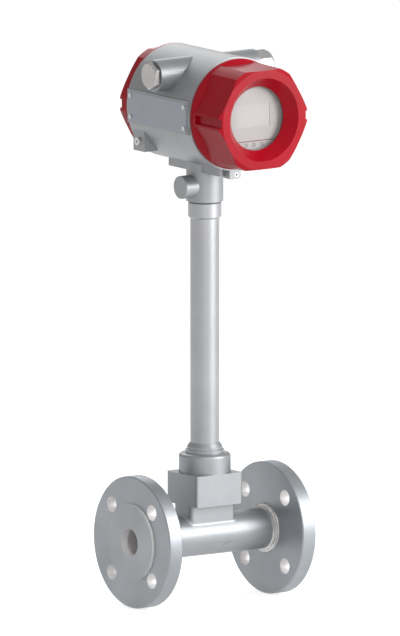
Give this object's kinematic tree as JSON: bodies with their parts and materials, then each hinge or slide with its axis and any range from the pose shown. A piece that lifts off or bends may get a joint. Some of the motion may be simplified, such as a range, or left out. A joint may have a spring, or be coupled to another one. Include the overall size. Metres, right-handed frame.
{
  "type": "vortex flow meter",
  "caption": "Flanged vortex flow meter: short pipe with a shedder bar and sensor block, tall stem, and a swivelling display head with screwed hexagonal covers.",
  "frame": {"origin": "centre of the bore at the inlet flange's raised face", "axes": "+X along the flow from inlet to outlet, +Z along the stem to the head, display faces -Y"},
  "size_m": [0.208, 0.194, 0.6281],
  "materials": {
    "stainless": "satin machined stainless steel",
    "weld_steel": "brushed weld bead",
    "small_steel": "bright zinc plated or stainless steel",
    "plug_steel": "nickel plated steel",
    "plate_steel": "thin bead-blasted stainless plate",
    "grey_paint": "grey paint on an aluminium casting",
    "red_paint": "deep red gloss paint on an aluminium casting",
    "glass": "clear flat window",
    "face_plate": "light grey moulded front plate",
    "screen": "grey-white unlit screen",
    "dark_plastic": "black moulded plastic",
    "board": "green circuit board",
    "brass": "plain brass",
    "graphite": "graphite and fibre sealing washer",
    "black_rubber": "black sealing rubber"
  },
  "bodies": {
    "meter": {"meter_body": "stainless", "inlet_flange": "stainless", "outlet_flange": "stainless", "inlet_weld": "weld_steel", "outlet_weld": "weld_steel", "bluff_body": "small_steel", "vortex_sensor": "small_steel", "sensor_gasket": "graphite", "bonnet": "stainless", "stem_tube": "stainless", "stem_collar": "stainless", "retaining_ring": "small_steel", "stem_seal": "black_rubber", "sensor_lead": "black_rubber"},
    "head": {"head_casting": "grey_paint", "head_clamp_screw": "small_steel", "rear_lock_screw": "small_steel", "front_lock_screw": "small_steel", "left_entry_plug": "plug_steel", "right_entry_plug": "plug_steel", "left_entry_washer": "graphite", "right_entry_washer": "graphite", "electronics_carrier": "dark_plastic", "main_board": "board", "display_board": "board", "display_bezel": "face_plate", "display_screen": "screen", "board_screws": "small_steel", "terminal_tray": "dark_plastic", "terminal_block": "dark_plastic", "terminal_screws": "brass", "ground_screw": "brass", "ground_washer": "brass", "nameplate": "plate_steel", "nameplate_screws": "small_steel"},
    "front_seal_ring": {"front_cover_ring": "black_rubber"},
    "front_cover": {"front_cover": "red_paint", "window_seal": "black_rubber", "window_glass": "glass", "window_clamp_ring": "small_steel"},
    "rear_seal_ring": {"rear_cover_ring": "black_rubber"},
    "rear_cover": {"rear_cover": "red_paint"}
  },
  "joints": [
    {"name": "head_swivel", "type": "hinge", "parent": "meter", "child": "head", "pos_m": [0.104, 0, 0.4], "axis": [0, 0, 1], "range_deg": [-175, 175]},
    {"name": "front_cover_travel", "type": "slide", "parent": "head", "child": "front_seal_ring", "axis": [0, -1, 0], "range_m": [0, 0.012]},
    {"name": "front_cover_turn", "type": "hinge", "parent": "front_seal_ring", "child": "front_cover", "pos_m": [0.104, -0.09, 0.4885], "axis": [0, -1, 0], "range_deg": [0, 2160]},
    {"name": "rear_cover_travel", "type": "slide", "parent": "head", "child": "rear_seal_ring", "axis": [0, 1, 0], "range_m": [0, 0.012]},
    {"name": "rear_cover_turn", "type": "hinge", "parent": "rear_seal_ring", "child": "rear_cover", "pos_m": [0.104, 0.07, 0.4885], "axis": [0, 1, 0], "range_deg": [0, 2160]}
  ],
  "couplings": [
    {"joint": "front_cover_travel", "follows": "front_cover_turn", "m_per_rad": 0.00031831},
    {"joint": "rear_cover_travel", "follows": "rear_cover_turn", "m_per_rad": 0.00031831}
  ]
}
